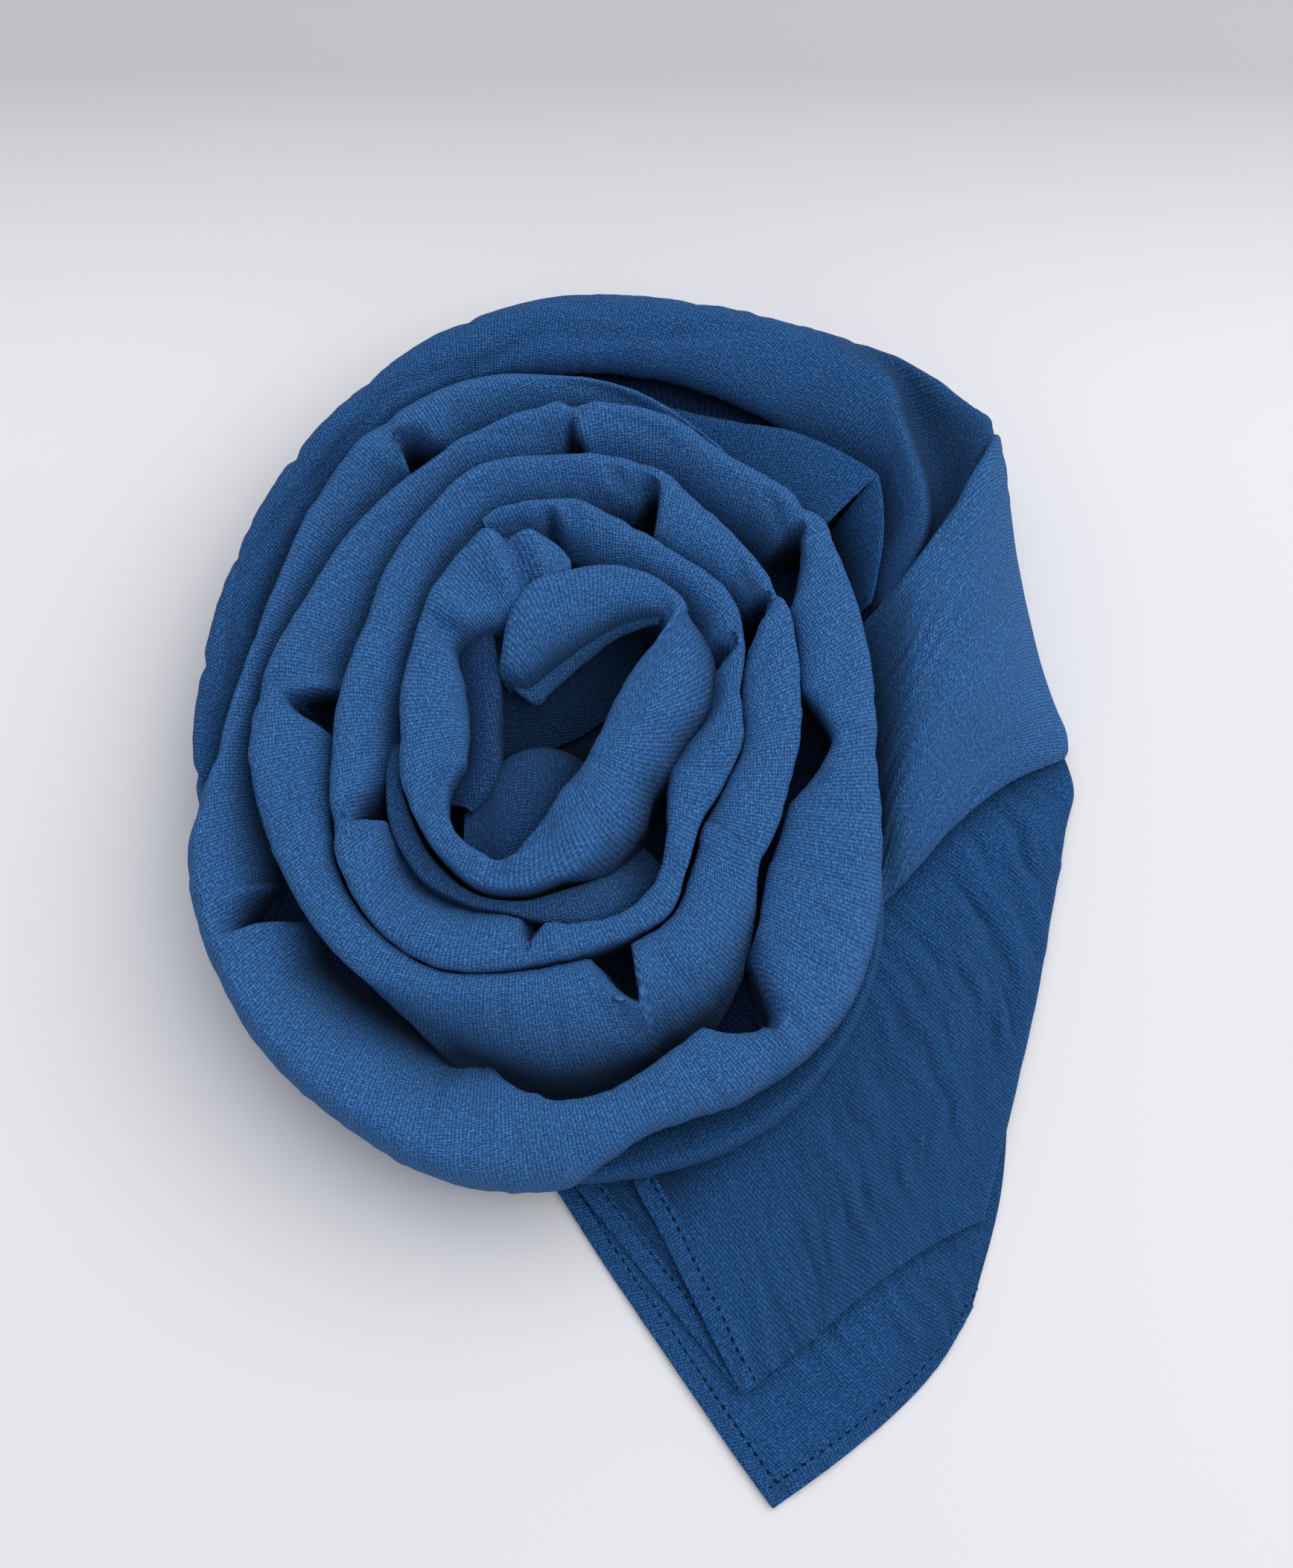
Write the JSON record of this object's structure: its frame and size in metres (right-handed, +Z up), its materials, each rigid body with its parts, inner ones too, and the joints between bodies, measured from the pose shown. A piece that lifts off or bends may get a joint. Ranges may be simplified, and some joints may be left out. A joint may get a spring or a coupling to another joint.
{
  "type": "hijab headscarf, wound into a coil",
  "caption": "Long crepe headscarf folded lengthwise and wound into a rose-like coil that rests on a surface, with its hemmed ends laid out flat beside it.",
  "frame": {"origin": "the middle of the coil on the flat underside, on the surface that the scarf rests on", "axes": "+Z up from the surface; +Y away from the viewer, towards the back of the coil; +X to the viewer's right; the loose ends lie towards +X and -Y"},
  "size_m": [0.2518, 0.342, 0.069],
  "materials": {
    "crepe": "matt pebbly crepe weave, mid blue",
    "crepe_shaded": "the same crepe, deep in the folds",
    "crepe_hem": "the same crepe, doubled and sewn with thread of its colour"
  },
  "bodies": {
    "root": {"hidden_layers": "crepe_shaded", "outer_turn": "crepe", "second_turn": "crepe", "third_turn": "crepe", "fourth_turn": "crepe", "fourth_turn_end": "crepe", "inner_turn": "crepe", "start_hem": "crepe_hem", "well_layer": "crepe", "well_fold": "crepe", "top_wrap": "crepe", "hollow_layer": "crepe", "corner_flap": "crepe", "under_turn": "crepe", "side_wrap": "crepe", "tail_top": "crepe", "tail_middle": "crepe", "tail_bottom": "crepe", "tail_top_hem": "crepe_hem", "tail_middle_hem": "crepe_hem", "tail_bottom_side_hem": "crepe_hem", "tail_bottom_end_hem": "crepe_hem"}
  },
  "joints": []
}
